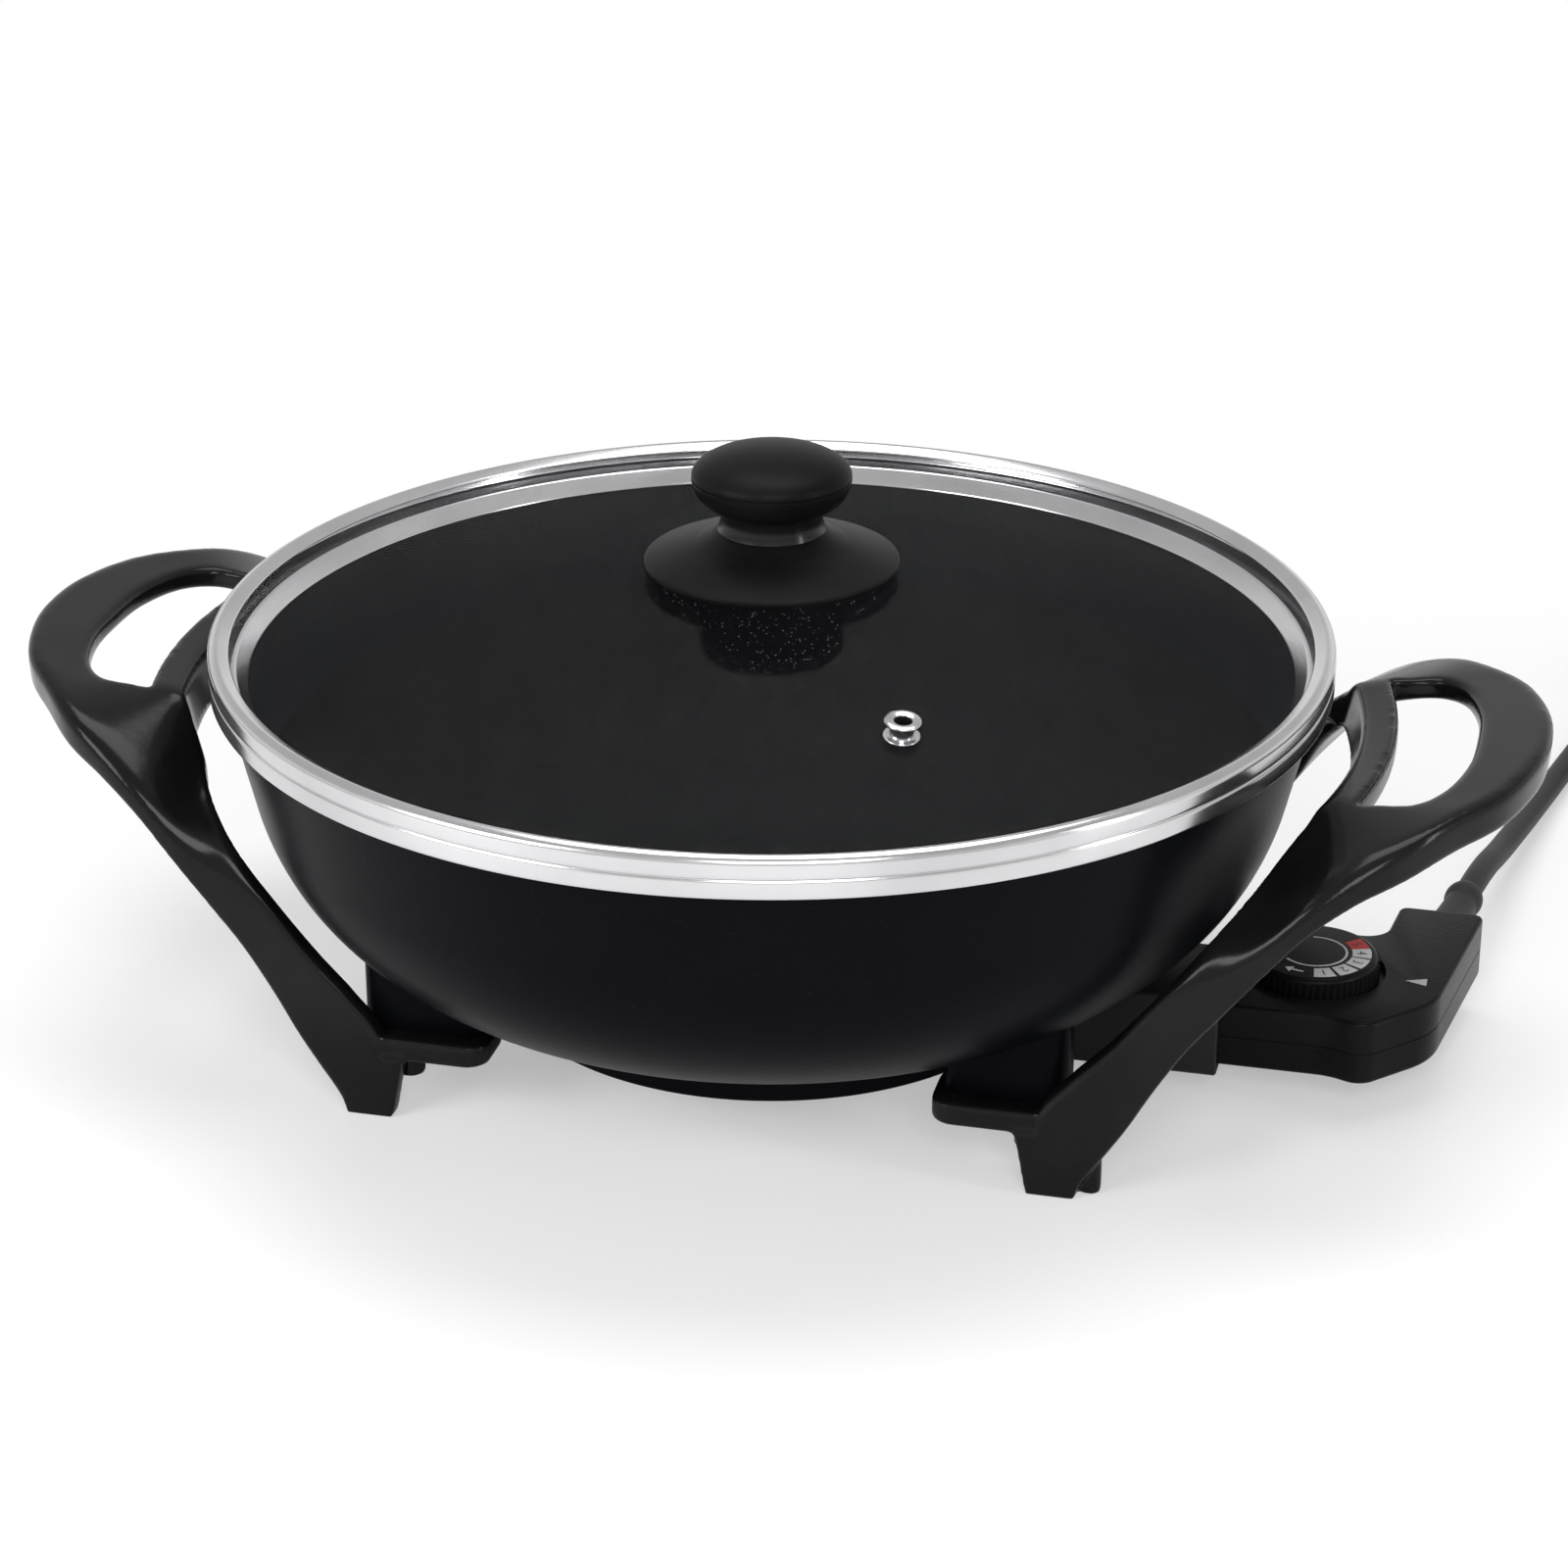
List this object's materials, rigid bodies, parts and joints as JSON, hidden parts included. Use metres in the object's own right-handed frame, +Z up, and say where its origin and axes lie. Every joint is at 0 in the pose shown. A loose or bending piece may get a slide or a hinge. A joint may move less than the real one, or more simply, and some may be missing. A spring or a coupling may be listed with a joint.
{
  "type": "electric skillet",
  "caption": "Round electric skillet with a lift-off domed glass lid, loop handles that run down into the legs, and a plug-in temperature controller with a dial and cord.",
  "frame": {"origin": "on the table under the bowl's axis, at the middle of the four feet", "axes": "+X towards the handle on the controller side, +Y to the back, +Z up"},
  "size_m": [0.5923, 0.5623, 0.1932],
  "materials": {
    "pan_coat": "satin non-stick coat on cast aluminium",
    "handle_plastic": "gloss",
    "knob_plastic": "satin",
    "case_plastic": "satin",
    "lid_glass": "clear",
    "lid_steel": "polished",
    "plain_steel": "plain",
    "contact_brass": "plain",
    "ceramic": "matt",
    "cord_rubber": "matt"
  },
  "bodies": {
    "base": {"pan_bowl": "pan_coat", "heating_element": "plain_steel", "terminal_pins": "plain_steel", "pin_insulators": "ceramic", "terminal_shroud": "case_plastic", "shroud_screws": "plain_steel", "handle_right": "handle_plastic", "handle_left": "handle_plastic", "handle_screws": "plain_steel"},
    "lid": {"lid_glass": "lid_glass", "lid_band": "lid_steel", "vent_eyelet": "lid_steel", "knob_skirt": "knob_plastic", "knob_body": "knob_plastic", "knob_cap": "knob_plastic", "knob_screw": "plain_steel", "knob_washer": "plain_steel"},
    "controller": {"controller_lower_case": "case_plastic", "controller_upper_case": "case_plastic", "contact_carrier": "case_plastic", "contact_sleeves": "contact_brass", "probe_rod": "plain_steel", "thermostat": "ceramic", "case_screws": "plain_steel", "strain_relief": "cord_rubber", "cord_free": "cord_rubber", "cord_coil": "cord_rubber", "cord_tie": "case_plastic", "plug_body": "cord_rubber", "plug_blades": "contact_brass"},
    "dial": {"dial": "case_plastic", "dial_spindle": "plain_steel"}
  },
  "joints": [
    {"name": "lid_lift", "type": "slide", "parent": "base", "child": "lid", "axis": [0, 0, 1], "range_m": [0, 0.12]},
    {"name": "controller_pull", "type": "slide", "parent": "base", "child": "controller", "axis": [1, 0, 0], "range_m": [0, 0.09]},
    {"name": "dial_turn", "type": "hinge", "parent": "controller", "child": "dial", "pos_m": [0.168, 0.015, 0.034], "axis": [0, 0, 1], "range_deg": [-35, 115]}
  ]
}
